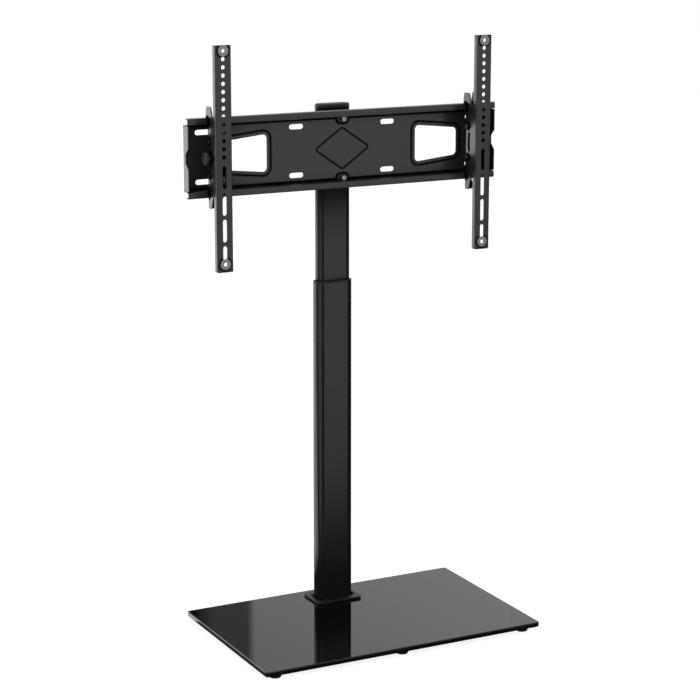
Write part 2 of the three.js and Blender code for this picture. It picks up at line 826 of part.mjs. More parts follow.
// A pressed bead follows the outline of its valley. It is V-shaped: widest at its front, closed at its depth,
// and it reaches ahead of its front so that it can cut or join a sheet
function bead(valley, width, front, depth, reach) {
  const [wide, narrow] = [width / 2, -width / 2].map((bevelSize) => {
    const form = { depth: reach, curveSegments: slotSegments, bevelThickness: depth, bevelSize };
    const geometry = new THREE.ExtrudeGeometry(valley, { ...form, bevelSegments: 1 });
    return solid(geometry.rotateX(Math.PI / 2).translate(0, front, 0));
  });
  return wide.subtract(narrow);
}

function windowBead(side, front, reach) {
  return bead(windowOutline(side, windowRim + borderWidth / 2), borderWidth, front, borderDepth, reach);
}

function plateSlots() {
  const cuts = [];
  for (const side of [-1, 1]) {
    for (const level of [-1, 1]) {
      const z = mountHeight + level * plateSlotSpacing / 2;
      cuts.push(obround(innerSlotLength, plateSlotWidth, side * innerSlotX, z));
      cuts.push(obround(outerSlotLength, plateSlotWidth, side * outerSlotX, z));
    }
  }
  return cuts;
}

// A flat tongue lanced out of the web carries each centre bolt close to the lip
function tongue(side) {
  const half = tongueWidth / 2;
  const levels = [plateBoltSpacing / 2 - tongueMargin, plateBoltSpacing / 2 + tongueMargin];
  const [bottom, top] = side > 0 ? levels : levels.map((z) => -z).reverse();
  return box(-half, half, panelFront, panelBack, mountHeight + bottom, mountHeight + top);
}

function tongueOpening(side) {
  const half = tongueWidth / 2 + tongueClearance;
  const levels = [plateBoltSpacing / 2, plateBoltSpacing / 2 + tongueMargin + tongueClearance];
  const [bottom, top] = side > 0 ? levels : levels.map((z) => -z).reverse();
  const front = panelFront - tongueNotch;
  return box(-half, half, front, panelBack + cutOverrun, mountHeight + bottom, mountHeight + top);
}

function mountPlate() {
  const sides = [-1, 1];
  const depth = plateSheet + borderDepth + cutOverrun * 2;
  const through = (shape) => backward(shape, panelFront - cutOverrun, depth, slotSegments);
  const tray = sideways(trayProfile(), -plateLength / 2, plateLength);
  const pierced = without(tray, sides.map(tongueOpening));
  const formed = joined([
    pierced,
    ...sides.map(tongue),
    ...sides.map(endFlange),
    ...sides.map((side) => windowBead(side, panelBack, plateSheet / 2)),
  ]);
  return without(formed, [
    ...sides.map((side) => windowBead(side, panelFront, cutOverrun)),
    bead(diamondOutline(diamondGroove / 2), diamondGroove, panelFront, diamondDepth, cutOverrun),
    ...sides.map((side) => through(windowOutline(side, 0))),
    ...plateSlots().map(through),
    ...plateBoltHoles(panelFront, panelBack),
  ]);
}

addPiece('mount_plate', mountPlate(), powderCoat);
const plateBoltNames = ['bottom', 'top'];
plateBoltLevels.forEach((z, i) => {
  const place = plateBoltNames[i];
  const seat = panelFront - plateWasherThickness;
  const outline = obround(plateWasherWidth, plateWasherHeight, 0, z);
  const oblong = backward(outline, seat, plateWasherThickness, slotSegments);
  const grip = plateWasherThickness + plateSheet + bracketSheet + smallNut.height + boltTipLength;
  addPiece(`plate_washer_${place}`, without(oblong, plateBoltHoles(seat, panelFront)), blackScrew);
  addPiece(`plate_bolt_${place}`, bolt(plateBolt, grip, 'forward', 0, seat, z), zinc);
  addPiece(`plate_nut_${place}`, nut(smallNut, 'backward', 0, panelBack + bracketSheet, z), zinc);
});

// Screen arms, each with a hook bracket, a tilt knob and a safety screw; side is -1 left, 1 right
const outward = { '-1': 'left', 1: 'right' };
const inward = { '-1': 'right', 1: 'left' };
const armX = (side) => side * armSpacing / 2;
const guideAngles = { bottom: -guideAngle, top: guideAngle };
const firstHoleLevel = armTop - armHoleDrop;

function armChannel(side) {
  const half = armSheet / 2;
  const x = armX(side);
  const [left, right] = [x - armWidth / 2 + half, x + armWidth / 2 - half];
  const [front, back] = [armFront + half, armFront + armFlange];
  const path = [[left, back], [left, front], [right, front], [right, back]];
  const profile = bentSheet(path, armSheet, armBendRadius);
  const middle = armTop - armLength / 2;
  const face = roundedRectangle(armWidth, armLength, armEndCorner, x, middle);
  return upward(profile, armTop - armLength, armLength)
    .intersect(backward(face, armFront - cutOverrun, armFlange + cutOverrun * 2));
}

// The flanges widen into wings that carry the tilt slots and guide bolts
function wings(side) {
  const root = armFront + armFlange / 2;
  const rear = armFront + wingReach;
  const outline = roundedPolygon([
    [root, tiltAxisZ - wingRootHeight / 2, 0],
    [rear, tiltAxisZ - wingRearHeight / 2],
    [rear, tiltAxisZ + wingRearHeight / 2],
    [root, tiltAxisZ + wingRootHeight / 2, 0],
  ], wingCorner);
  const x = armX(side);
  const lefts = [x - armWidth / 2, x + armWidth / 2 - armSheet];
  return lefts.map((left) => sideways(outline, left, armSheet, slotSegments));
}

function guidePlace(angle) {
  const turn = THREE.MathUtils.degToRad(angle);
  return [tiltAxisY + guideRadius * Math.cos(turn), tiltAxisZ + guideRadius * Math.sin(turn)];
}

function armCuts(side) {
  const x = armX(side);
  const across = armWidth + cutOverrun * 2;
  const left = x - across / 2;
  const through = (shape) => backward(shape, armFront - cutOverrun, armSheet + cutOverrun * 2, slotSegments);
  const cuts = [];
  for (let i = 0; i < armHoleCount; i += 1) {
    cuts.push(through(circle(armHoleDiameter, x, firstHoleLevel - i * armHolePitch)));
  }
  for (let i = 0; i < armSlotCount; i += 1) {
    const middle = armTop - armSlotDrop - i * armSlotPitch - armSlotLength / 2;
    cuts.push(through(obround(armSlotWidth, armSlotLength, x, middle)));
  }
  const studSweep = tiltLimit + tiltSlotMargin;
  cuts.push(sideways(arcSlot(knobRadius, hole(largeBolt.shank), 0, studSweep), left, across, slotSegments));
  for (const angle of Object.values(guideAngles)) {
    cuts.push(rod(hole(smallBolt.shank), across, 'right', left, ...guidePlace(angle)));
  }
  return cuts;
}

function arm(side) {
  return without(joined([armChannel(side), ...wings(side)]), armCuts(side));
}

// Two cheeks hook over the upper return, pass inside the tray and end below the lower return
function cheekOutline() {
  const front = armFront + hookFrontSetback;
  const nose = armFront + hookNoseSetback;
  const tray = lipFront + hookTrayReach;
  const trayHalf = halfPlate - lipHeight - plateSheet - hookTrayMargin;
  const lip = lipFront - seatGap;
  const seat = halfPlate + seatGap;
  const prongFront = lipFront + returnDepth + seatGap * 2;
  const prongBack = prongFront + hookProng;
  const crown = halfPlate + hookRise;
  const crownBack = prongBack - hookProng;
  const tail = halfPlate + hookTailDrop;
  const level = (z) => mountHeight + z;
  return roundedPolygon([
    [front, tiltAxisZ - hookFrontHeight / 2],
    [nose, level(-halfPlate - hookNoseRise)],
    [tray - hookTailDepth, level(-tail)],
    [tray, level(-tail)],
    [tray, level(-seat), 0],
    [lip, level(-seat), 0],
    [lip, level(-trayHalf), 0],
    [tray, level(-trayHalf), 0],
    [tray, level(trayHalf), 0],
    [lip, level(trayHalf), 0],
    [lip, level(seat), 0],
    [prongFront, level(seat), 0],
    [prongFront, level(halfPlate - hookThroat), 0],
    [prongBack, level(halfPlate - hookThroat), 0],
    [prongBack, level(halfPlate + hookShoulder)],
    [crownBack, level(crown)],
    [crownBack - hookCrownDepth, level(crown)],
    [nose, level(halfPlate + hookNoseRise)],
    [front, tiltAxisZ + hookFrontHeight / 2],
  ], hookCorner);
}

const screwY = lipFront + safetyScrewSetback;
const tabTop = mountHeight - halfPlate - hookTabDrop;
const tabBottom = tabTop - hookSheet;

function hookBracket(side) {
  const x = armX(side);
  const half = hookOuterWidth / 2;
  const outline = cheekOutline();
  const cheeks = [x - half, x + half - hookSheet].map((left) => sideways(outline, left, hookSheet));
  const tray = lipFront + hookTrayReach;
  const [webBottom, webTop] = [tiltAxisZ - hookWebHeight / 2, tiltAxisZ + hookWebHeight / 2];
  const [left, right] = [x - half + hookSheet / 2, x + half - hookSheet / 2];
  const web = box(left, right, tray - hookSheet, tray, webBottom, webTop);
  const tab = box(left, right, tray - hookTabDepth, tray, tabBottom, tabTop);
  const knobPlace = [tiltAxisY + knobRadius, tiltAxisZ];
  const inside = x + side * (half - hookSheet / 2);
  const nutBody = rod(weldNutDiameter, weldNutHeight + hookSheet / 2, inward[side], inside, ...knobPlace);
  const boreStart = x + side * (half + cutOverrun);
  const bore = rod(hole(largeBolt.shank), half + cutOverrun, inward[side], boreStart, ...knobPlace);
  const screwStart = tabBottom - cutOverrun / 2;
  const screwHole = rod(hole(smallBolt.shank), hookSheet + cutOverrun, 'up', x, screwY, screwStart);
  const slots = Object.values(guideAngles).map((angle) => {
    const slot = arcSlot(guideRadius, hole(smallBolt.shank), angle, tiltLimit + tiltSlotMargin);
    return sideways(slot, x - half - cutOverrun, hookOuterWidth + cutOverrun * 2, slotSegments);
  });
  return without(joined([...cheeks, web, tab, nutBody]), [bore, screwHole, ...slots]);
}

function lobedOutline() {
  const corners = [];
  for (let i = 0; i < knobPoints; i += 1) {
    const angle = (Math.PI * 2 * i) / knobPoints;
    const radius = knobDiameter / 2 - knobLobeDepth * (1 - Math.cos(knobLobes * angle)) / 2;
    corners.push(new THREE.Vector2(radius * Math.cos(angle), radius * Math.sin(angle)));
  }
  return new THREE.Shape(corners);
}

const studDepth = knobBossHeight + knobThickness * studDepthShare;

function tiltKnob(side) {
  const place = [armX(side) + side * (armWidth / 2 + seatGap), tiltAxisY + knobRadius, tiltAxisZ];
  const lobes = extruded(lobedOutline(), knobThickness, 1, knobEdge).translate(0, 0, knobBossHeight);
  const boss = rod(knobBossDiameter, knobBossHeight + knobThickness / 2, outward[side], ...place);
  const bore = turned([
    [0, -cutOverrun],
    [hole(largeBolt.shank) / 2, -cutOverrun],
    [hole(largeBolt.shank) / 2, studDepth + seatGap],
    [0, studDepth + seatGap],
  ]);
  return without(placed(lobes, outward[side], ...place).add(boss), [placed(bore, outward[side], ...place)]);
}

function knobStud(side) {
  const start = hookOuterWidth / 2 - hookSheet - weldNutHeight;
  const end = armWidth / 2 + seatGap + studDepth;
  const place = [armX(side) + side * start, tiltAxisY + knobRadius, tiltAxisZ];
  return rod(largeBolt.shank, end - start, outward[side], ...place);
}

function safetyScrew(side) {
  const foot = tabBottom - seatGap - screwKnobHeight;
  const tip = mountHeight - halfPlate - seatGap - foot;
  const shank = smallBolt.shank / 2;
  const profile = [
    [0, 0],
    [screwKnobFoot / 2 - headEdge, 0],
    [screwKnobFoot / 2, headEdge],
    [screwKnobTop / 2, screwKnobHeight],
    [shank, screwKnobHeight],
    [shank, tip - headEdge],
    [shank - headEdge, tip],
    [0, tip],
  ];
  return placed(turned(profile), 'up', armX(side), screwY, foot);
}

for (const [name, side] of Object.entries({ left: -1, right: 1 })) {
  addPiece(`arm_${name}`, arm(side), powderCoat);
  const ringX = armX(side);
  const washerLevels = { top: firstHoleLevel, bottom: firstHoleLevel - screenPattern };
  for (const [place, z] of Object.entries(washerLevels)) {
    const size = [armWasherDiameter, armWasherBore, armWasherThickness];
    const ring = washer(...size, 'forward', ringX, armFront, z);
    addPiece(`arm_washer_${name}_${place}`, ring, greyWasher);
  }
  addPiece(`hook_bracket_${name}`, hookBracket(side), powderCoat);
  for (const [place, angle] of Object.entries(guideAngles)) {
    const grip = armWidth + smallNut.height + boltTipLength;
    const guideY = guidePlace(angle);
    const outer = [armX(side) + side * armWidth / 2, ...guideY];
    const inner = [armX(side) - side * armWidth / 2, ...guideY];
    addPiece(`guide_bolt_${name}_${place}`, bolt(smallBolt, grip, outward[side], ...outer), blackScrew);
    addPiece(`guide_nut_${name}_${place}`, nut(smallNut, inward[side], ...inner), blackScrew);
  }
  addPiece(`tilt_knob_${name}`, tiltKnob(side), blackPlastic);
  addPiece(`knob_stud_${name}`, knobStud(side), zinc);
  addPiece(`safety_screw_${name}`, safetyScrew(side), blackPlastic);
}

export default scene;
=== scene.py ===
"""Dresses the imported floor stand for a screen: finishes, turned and moulded details, and its studio."""

import json
import math

import bpy
from mathutils import Matrix, Vector

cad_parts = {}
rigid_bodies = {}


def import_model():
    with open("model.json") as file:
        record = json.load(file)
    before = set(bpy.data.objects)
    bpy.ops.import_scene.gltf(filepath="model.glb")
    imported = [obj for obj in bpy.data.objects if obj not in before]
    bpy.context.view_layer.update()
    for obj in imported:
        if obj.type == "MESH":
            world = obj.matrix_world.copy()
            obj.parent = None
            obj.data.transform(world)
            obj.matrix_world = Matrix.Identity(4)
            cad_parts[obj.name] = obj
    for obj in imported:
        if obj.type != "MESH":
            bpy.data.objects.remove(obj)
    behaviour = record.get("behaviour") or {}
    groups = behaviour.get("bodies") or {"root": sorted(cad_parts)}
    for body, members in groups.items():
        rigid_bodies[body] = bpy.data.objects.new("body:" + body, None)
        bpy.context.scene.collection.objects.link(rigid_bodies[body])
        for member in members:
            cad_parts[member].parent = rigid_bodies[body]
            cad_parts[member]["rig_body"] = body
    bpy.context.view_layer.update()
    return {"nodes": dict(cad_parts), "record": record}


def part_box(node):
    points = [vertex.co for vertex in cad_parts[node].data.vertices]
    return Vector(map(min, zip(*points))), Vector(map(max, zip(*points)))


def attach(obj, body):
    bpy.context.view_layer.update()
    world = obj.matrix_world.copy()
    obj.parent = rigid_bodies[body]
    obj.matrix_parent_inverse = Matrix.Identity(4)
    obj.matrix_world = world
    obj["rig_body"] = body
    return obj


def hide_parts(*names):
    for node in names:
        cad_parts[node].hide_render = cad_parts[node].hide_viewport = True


bl_info = {
    "name": "Screen Stand",
    "version": (1, 0, 0),
    "blender": (4, 5, 0),
    "location": "3D View > Sidebar > Stand",
    "description": "Gives a packed floor stand its finishes, fasteners, knobs, feet and studio",
    "category": "Object",
}

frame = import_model()

SIDES = {"left": "right", "right": "left"}  # each side, with the way inward from it
LEVELS = ("bottom", "top")
AIMS = {
    "up": (0, 0, 1),
    "down": (0, 0, -1),
    "forward": (0, -1, 0),
    "backward": (0, 1, 0),
    "left": (-1, 0, 0),
    "right": (1, 0, 0),
}

# Turned hardware in millimetres: shank, head, head height and socket of a screw, bore and flats of a nut,
# outer width, bore and rounding of a washer. A thread's depth is a share of its pitch.
SMALL_SCREW, LARGE_SCREW, GRIP_SCREW = (6, 10.5, 3.3, 4), (8, 14, 4.4, 5), (6, 9, 7, 4.5)
SMALL_NUT, LARGE_NUT = (6, 10), (8, 13)
SWIVEL_WASHER, ARM_WASHER = (18, 8.6, 0.25), (21, 7.6, 0.4)
LONGEST_THREAD, THREAD_DEPTH, RINGS_PER_TURN = 24, 0.55, 6

# Edges of a detail that turn by more than this, in degrees, are drawn sharp
SMOOTH_UP_TO = 35

# Studio cards stand in a ring round the stand, this many metres away and just clear of the floor. Each
# goes from one bearing to another, in degrees clockwise from straight behind the stand, and shows in gloss
# alone. Its strength runs from the first number to the second, and its top is in metres. A floor card has
# one strength and lies flat, from a near edge in metres out to the ring. Between cards the room shows.
CARD_RADIUS, CARD_LIFT, CARD_STEPS = 1.7, 0.002, 8
CARDS = (
    ("card_behind_fall", 9, 11.2, 1.0, 0.0, 0.8),
    ("card_behind_rise", 11.2, 13.3, 0.0, 0.195, 0.8),
    ("card_behind_left", 13.3, 16.6, 0.195, 0.2, 0.8),
    ("card_behind_edge", 16.6, 17.3, 0.25, 0.82, 0.8),
    ("card_behind_right", 17.3, 42, 0.82, 1.04, 2.4),
    ("card_right", 54, 137, 0.03, 0.03, 0.8),
    ("card_front_right", 137, 168, 1.01, 1.01, 2.4),
    ("card_front", 174, 212, 0.1, 0.1, 0.8),
    ("card_left", 256, 279, 0.2, 0.2, 0.8),
    ("card_left_strip", 293, 344, 2.8, 2.8, 2.4),
)
FLOOR_CARDS = (
    ("card_floor_back_right", 20, 54, 0.6, 0.5),
    ("card_floor_left", 280, 344, 2.5, 0.36),
    ("card_floor_left_dark", 252, 280, 0.1, 0.3),
    ("card_floor_front", 174, 212, 0.05, 0.5),
    ("card_floor_right", 80, 137, 0.03, 0.5),
)

# The paper glows where the camera sees it, by this share of its shading and this brightly. For bounced light
# it is painted near black round the stand, as painted shade, and turns white along each of these axes, from
# one place in metres to another.
PAPER_SHARE, PAPER_GLOW = 0.7, 1.25
PAPER_FALLS = (("X", -0.25, -0.6), ("Y", -0.17, -0.85), ("X", 1.5, 2.1), ("Y", 1.5, 2.1))

# Sockets of the colour mix node, which are told apart by number
MIX_FACTOR, MIX_A, MIX_B, MIX_RESULT = 0, 6, 7, 2


def mm(length):
    return length / 1000


def in_mm(metres):
    return metres * 1000


def linear(code):
    """An sRGB hex value such as 1c1c1e as linear red, green, blue and alpha."""
    channels = [int(code[i : i + 2], 16) / 255 for i in (0, 2, 4)]
    return tuple(c / 12.92 if c <= 0.04045 else ((c + 0.055) / 1.055) ** 2.4 for c in channels) + (1.0,)


def per_metre(size):
    """Pattern scale for a feature of that many millimetres."""
    return 1000 / size


def colour(name, code, about):
    return bpy.props.FloatVectorProperty(
        name=name, description=about, subtype="COLOR", size=4, min=0, max=1, default=linear(code)
    )


def length(name, size, about):
    return bpy.props.FloatProperty(
        name=name, description=about, default=mm(size), min=0, unit="LENGTH", precision=5
    )


def slope(name, degrees, about):
    return bpy.props.FloatProperty(
        name=name, description=about, default=math.radians(degrees), subtype="ANGLE"
    )


def spot(name, point, about):
    return bpy.props.FloatVectorProperty(name=name, description=about, default=point, subtype="XYZ")


class STAND_PG_finish(bpy.types.PropertyGroup):
    """Colours and pattern sizes of the stand's finishes"""

    glass: colour("Glass", "060708", "Black enamelled glass of the base")
    powder: colour("Powder coat", "1a1a1b", "Fine powder coat on the pressed steel")
    powder_light: colour("Powder coat grain", "222224", "Raised grains of the powder coat")
    tube: colour("Tube paint", "131314", "Semi-gloss paint of the column tubes")
    plastic: colour("Moulded plastic", "0f0f10", "Cap, collar, guide and knobs")
    rubber: colour("Rubber", "1b1b1b", "Feet under the glass")
    zinc: colour("Zinc plate", "b6b9bc", "Bright plated bolts and nuts")
    zinc_cloud: colour("Zinc cloud", "9aa0a8", "Cooler clouds of the passivated zinc")
    oxide: colour("Black oxide", "101012", "Blackened washers, guide bolts and lock screws")
    nylon: colour("Grey nylon", "747679", "Spacer washers on the arms")
    grain: length("Powder grain", 0.8, "Width of one grain of the powder coat")
    peel: length("Orange peel", 5.0, "Wave of the levelled coating")
    # Reaches of painted shade: on colour and gloss in grooves and corners, on gloss in hollows of moulded
    # parts, and on gloss under the head and by the glass
    groove_shade_reach: length("Groove", 5.2, "Reach of the grooves and corners that stay dark")
    nook_shade_reach: length("Nook", 9, "Reach of the hollows of moulded parts that stay dark")
    shelter: length("Shelter", 130, "Reach of the parts that shade the column and the insides of the head")


class STAND_PG_sizes(bpy.types.PropertyGroup):
    """Sizes that the CAD solids only outline"""

    sheet_edge: length("Sheet edge", 0.35, "Rounding of a cut and coated sheet edge")
    glass_edge: length("Glass arris", 0.5, "Polished rounding of the glass edge")
    moulded_edge: length("Moulded edge", 0.5, "Rounding of a moulded edge")
    small_pitch: length("Small thread", 1.0, "Thread pitch of the 6 mm screws")
    large_pitch: length("Large thread", 1.25, "Thread pitch of the 8 mm screws")
    knob_lobes: bpy.props.IntProperty(
        name="Knob lobes", description="Grips round a tilt knob", default=6, min=3
    )
    grip_ribs: bpy.props.IntProperty(
        name="Grip ribs", description="Ribs round a safety screw", default=18, min=6
    )


class STAND_PG_stage(bpy.types.PropertyGroup):
    """Camera, softbox, room and floor"""

    lens: bpy.props.FloatProperty(
        name="Focal length",
        description="Camera lens on a 36 mm frame",
        default=107.715,
        subtype="DISTANCE_CAMERA",
    )
    heading: slope("Heading", 27.28, "Turn of the view to the right")
    dip: slope("Dip", 12.85, "Downward tilt of the view")
    roll: slope("Roll", 0.04, "Anticlockwise roll")
    camera_place: spot("Camera place", (-1.85281, -3.53888, 1.48147), "Where the camera stands")
    softbox_place: spot("Softbox place", (-1.6, -2.6, 2.6), "Where the softbox hangs")
    softbox_aim: spot("Softbox aim", (0, 0, 0.7), "What the softbox faces")
    softbox_size: length("Softbox", 2200, "Side of the softbox")
    softbox_power: bpy.props.FloatProperty(
        name="Softbox power", description="Power of the softbox", default=40, min=0, unit="POWER"
    )
    ambient: bpy.props.FloatProperty(
        name="Ambient", description="World light on matt surfaces", default=0.75, min=0
    )
    floor_size: length("Floor", 16000, "Side of the floor")


# Node materials. Coordinates are the objects' own, in metres, so each pattern keeps its real size.


def put(tree, kind, settings=None, values=None, links=None):
    """Adds a node of that kind with its settings, socket values and links."""
    node = tree.nodes.new(kind)
    for key, value in (settings or {}).items():
        setattr(node, key, value)
    for key, value in (values or {}).items():
        node.inputs[key].default_value = value
    for key, source in (links or {}).items():
        tree.links.new(source, node.inputs[key])
    return node


def values_and_links(sockets):
    """Sorts what sockets take into plain values and outputs of other nodes."""
    links = {key: source for key, source in sockets.items() if isinstance(source, bpy.types.NodeSocket)}
    return {key: value for key, value in sockets.items() if key not in links}, links


def blank(name):
    finish = bpy.data.materials.new(name)
    finish.use_nodes = True
    finish.node_tree.nodes.clear()
    return finish, finish.node_tree


def patterned(name):
    """An empty material, its node tree and the object's own coordinates."""
    finish, tree = blank(name)
    return finish, tree, put(tree, "ShaderNodeTexCoord").outputs["Object"]


def noise(tree, place, scale, detail, **more):
    """Cloudy pattern from 0 to 1."""
    values = {"Scale": scale, "Detail": detail, **more}
    return put(tree, "ShaderNodeTexNoise", values=values, links={"Vector": place}).outputs["Fac"]


def spread(tree, value, onto, within=(0, 1)):
    """Carries a value's run within two bounds onto two others, and no further."""
    values = dict(zip(("From Min", "From Max", "To Min", "To Max"), (*within, *onto)))
    return put(tree, "ShaderNodeMapRange", values=values, links={"Value": value}).outputs["Result"]


def blend(tree, share, first, second):
    """Goes from the first colour to the second by a share."""
    values, links = values_and_links({MIX_FACTOR: share, MIX_A: first, MIX_B: second})
    return put(tree, "ShaderNodeMix", {"data_type": "RGBA"}, values, links).outputs[MIX_RESULT]


def reckon(tree, operation, *terms):
    """The result of an operation on numbers and outputs of other nodes."""
    values, links = values_and_links(dict(enumerate(terms)))
    return put(tree, "ShaderNodeMath", {"operation": operation}, values, links).outputs["Value"]


def openness(tree, reach, samples):
    """How open a point lies to what stands within reach, 1 where nothing shades it."""
    node = put(tree, "ShaderNodeAmbientOcclusion", {"samples": samples}, {"Distance": reach})
    return node.outputs["AO"]


def relief(tree, height, strength, depth):
    """A bump of that strength, as deep as that many millimetres."""
    values = {"Strength": strength, "Distance": mm(depth)}
    return put(tree, "ShaderNodeBump", values=values, links={"Height": height}).outputs["Normal"]


def coat(tree, tone, roughness, normal, **more):
    """Closes a material with its surface. A socket's spaces are written as low lines."""
    sockets = {"Base Color": tone, "Roughness": roughness, "Normal": normal}
    sockets |= {key.replace("_", " "): value for key, value in more.items()}
    values, links = values_and_links(sockets)
    surface = put(tree, "ShaderNodeBsdfPrincipled", values=values, links=links).outputs["BSDF"]
    put(tree, "ShaderNodeOutputMaterial", links={"Surface": surface})


def white_light(tree, kind, strength):
    """A shader of that kind that gives even white light."""
    return put(tree, kind, values={"Color": (1, 1, 1, 1), "Strength": strength})


def toughened_glass(settings):
    """Float glass, toughened, with black enamel fired on its back."""
    # The polished face mirrors the room; rollers of the furnace leave a long shallow wave in it
    finish, tree, place = patterned("toughened_float_glass_black_enamel")
    wave = noise(tree, place, per_metre(240), 1)
    smear = noise(tree, place, per_metre(55), 5, Roughness=0.6)
    tint = blend(tree, smear, settings.glass, linear("090b0c"))
    gloss = spread(tree, smear, (0.018, 0.04), within=(0.35, 0.75))
    coat(tree, tint, gloss, relief(tree, wave, 0.02, 0.4), IOR=1.47, Specular_IOR_Level=0.42)
    return finish


def powder_coat(settings):
    """Polyester powder sprayed and baked on pressed steel."""
    # Melted grains leave a fine dry texture over a slow orange-peel wave, a little paler on top of the
    # grains. The real grain of about 0.3 mm is drawn wider, so that it shows in a view of the whole stand.
    # Painted shade: grooves and inner corners are painted darker, and the gloss is turned down inside the
    # head where other parts shelter the coat.
    finish, tree, place = patterned("powder_coated_steel_fine_texture")
    grain = noise(tree, place, 1 / settings.grain, 2, Roughness=0.65)
    peel = noise(tree, place, 1 / settings.peel, 1)
    crest = spread(tree, grain, (0, 1), within=(0.42, 0.72))
    tone = blend(tree, crest, settings.powder, settings.powder_light)
    # Painted shade: the colour fades to near black in grooves and inner corners, by how open each point lies
    unshaded_share = spread(tree, openness(tree, settings.groove_shade_reach, samples=32), (0, 1), within=(0.93, 0.995))
    tone = blend(tree, unshaded_share, linear("060606"), tone)
    # Painted shade in the gloss, turned down where parts inside the head shelter the coat
    lit_share = spread(tree, openness(tree, settings.shelter, samples=12), (0.04, 0.5), within=(0.38, 0.7))
    shaded_shine = reckon(tree, "MULTIPLY", unshaded_share, lit_share)
    dryness = spread(tree, grain, (0.26, 0.32), within=(0.3, 0.7))
    height = reckon(tree, "MULTIPLY_ADD", grain, 0.35, peel)
    coat(tree, tone, dryness, relief(tree, height, 0.14, 0.1), IOR=1.5, Specular_IOR_Level=shaded_shine)
    return finish


def tube_paint(settings):
    """Semi-gloss powder coat on cold-drawn steel tube."""
    # Smooth and closed, with faint draw lines along the tube that stretch each highlight upward. Painted
    # shade turns the gloss down where the head and the glass shelter the tube.
    finish, tree, place = patterned("semi_gloss_powder_coat_on_drawn_tube")
    drawn = put(tree, "ShaderNodeMapping", values={"Scale": (1, 1, 0.02)}, links={"Vector": place})
    lines = noise(tree, drawn.outputs["Vector"], per_metre(3), 3)
    peel = noise(tree, place, 1 / settings.peel, 2)
    tone = blend(tree, lines, settings.tube, linear("18181a"))
    gloss = spread(tree, peel, (0.14, 0.2), within=(0.3, 0.7))
    # Painted shade in the gloss where the head and the glass shelter the tube
    shaded_shine = spread(tree, openness(tree, settings.shelter, samples=12), (0.04, 0.4), within=(0.8, 1))
    height = reckon(tree, "MULTIPLY_ADD", lines, 0.5, peel)
    coat(tree, tone, gloss, relief(tree, height, 0.05, 0.1), IOR=1.5, Specular_IOR_Level=shaded_shine)
    return finish


def moulded_nylon(settings):
    """Injection-moulded black nylon from a spark-eroded mould."""
    # Even matt pits, with slightly shinier worn high spots, and painted shade that turns the gloss down in
    # hollows
    finish, tree, place = patterned("moulded_black_nylon_eroded_texture")
    pits = put(tree, "ShaderNodeTexVoronoi", values={"Scale": per_metre(0.9)}, links={"Vector": place})
    worn = noise(tree, place, per_metre(9), 3)
    tone = blend(tree, worn, settings.plastic, linear("18181a"))
    gloss = spread(tree, worn, (0.5, 0.38), within=(0.35, 0.7))
    # Painted shade in the gloss of hollows, from how open each point lies
    shaded_shine = spread(tree, openness(tree, settings.nook_shade_reach, samples=16), (0.02, 0.3), within=(0.55, 0.95))
    normal = relief(tree, pits.outputs["Distance"], 0.2, 0.08)
    coat(tree, tone, gloss, normal, IOR=1.53, Specular_IOR_Level=shaded_shine)
    return finish


def pressed_rubber(settings):
    """Compression-moulded rubber."""
    # Matt and slightly chalky, with bloom in soft patches
    finish, tree, place = patterned("compression_moulded_rubber")
    bloom = noise(tree, place, per_metre(6), 4)
    tone = blend(tree, bloom, settings.rubber, linear("2b2b2b"))
    coat(tree, tone, spread(tree, bloom, (0.7, 0.9)), relief(tree, bloom, 0.2, 0.1), IOR=1.52)
    return finish


def bright_zinc(settings):
    """Electroplated zinc on turned steel, passivated blue-white."""
    # Cool clouds in the passivation, and tool rings round the axis under the thin bright plate
    finish, tree, place = patterned("bright_zinc_plated_turned_steel")
    cloud = noise(tree, place, per_metre(4), 3)
    rings = put(
        tree,
        "ShaderNodeTexWave",
        settings={"wave_type": "RINGS", "rings_direction": "Z"},
        values={"Scale": per_metre(2.4), "Distortion": 0.4},
        links={"Vector": place},
    ).outputs["Fac"]
    tone = blend(tree, cloud, settings.zinc, settings.zinc_cloud)
    coat(tree, tone, spread(tree, cloud, (0.22, 0.38)), relief(tree, rings, 0.15, 0.05), Metallic=1)
    return finish


def black_oxide(settings):
    """Steel blackened hot and oiled."""
    # Near black with a brown breath where the oxide is thin, satin from the oil
    finish, tree, place = patterned("black_oxide_steel_oiled")
    patch = noise(tree, place, per_metre(3), 4)
    tone = blend(tree, patch, settings.oxide, linear("1c1917"))
    gloss = spread(tree, patch, (0.3, 0.46))
    coat(tree, tone, gloss, relief(tree, patch, 0.1, 0.05), Metallic=0.55, IOR=1.5)
    return finish


def grey_nylon(settings):
    """Injection-moulded grey nylon."""
    # Waxy and even, with faint flow marks from the mould's gate
    finish, tree, place = patterned("moulded_grey_nylon")
    flow = noise(tree, place, per_metre(7), 2, Distortion=0.8)
    tone = blend(tree, flow, settings.nylon, linear("696b6f"))
    coat(tree, tone, spread(tree, flow, (0.42, 0.55)), relief(tree, flow, 0.1, 0.06), IOR=1.53)
    return finish


FINISHES = {
    "black_glass": toughened_glass,
    "powder_coat": powder_coat,
    "tube_paint": tube_paint,
    "black_plastic": moulded_nylon,
    "black_rubber": pressed_rubber,
    "zinc_plate": bright_zinc,
    "black_screw": black_oxide,
    "grey_washer": grey_nylon,
}
made_finishes = {}


def finish_for(slot):
    """The finish of a material slot of the record, made once."""
    if slot not in made_finishes:
        made_finishes[slot] = FINISHES[slot](bpy.context.scene.stand_finish)
    return made_finishes[slot]


SLOT_OF = {row["node"]: row["material_slot"] for row in frame["record"]["subparts"]}


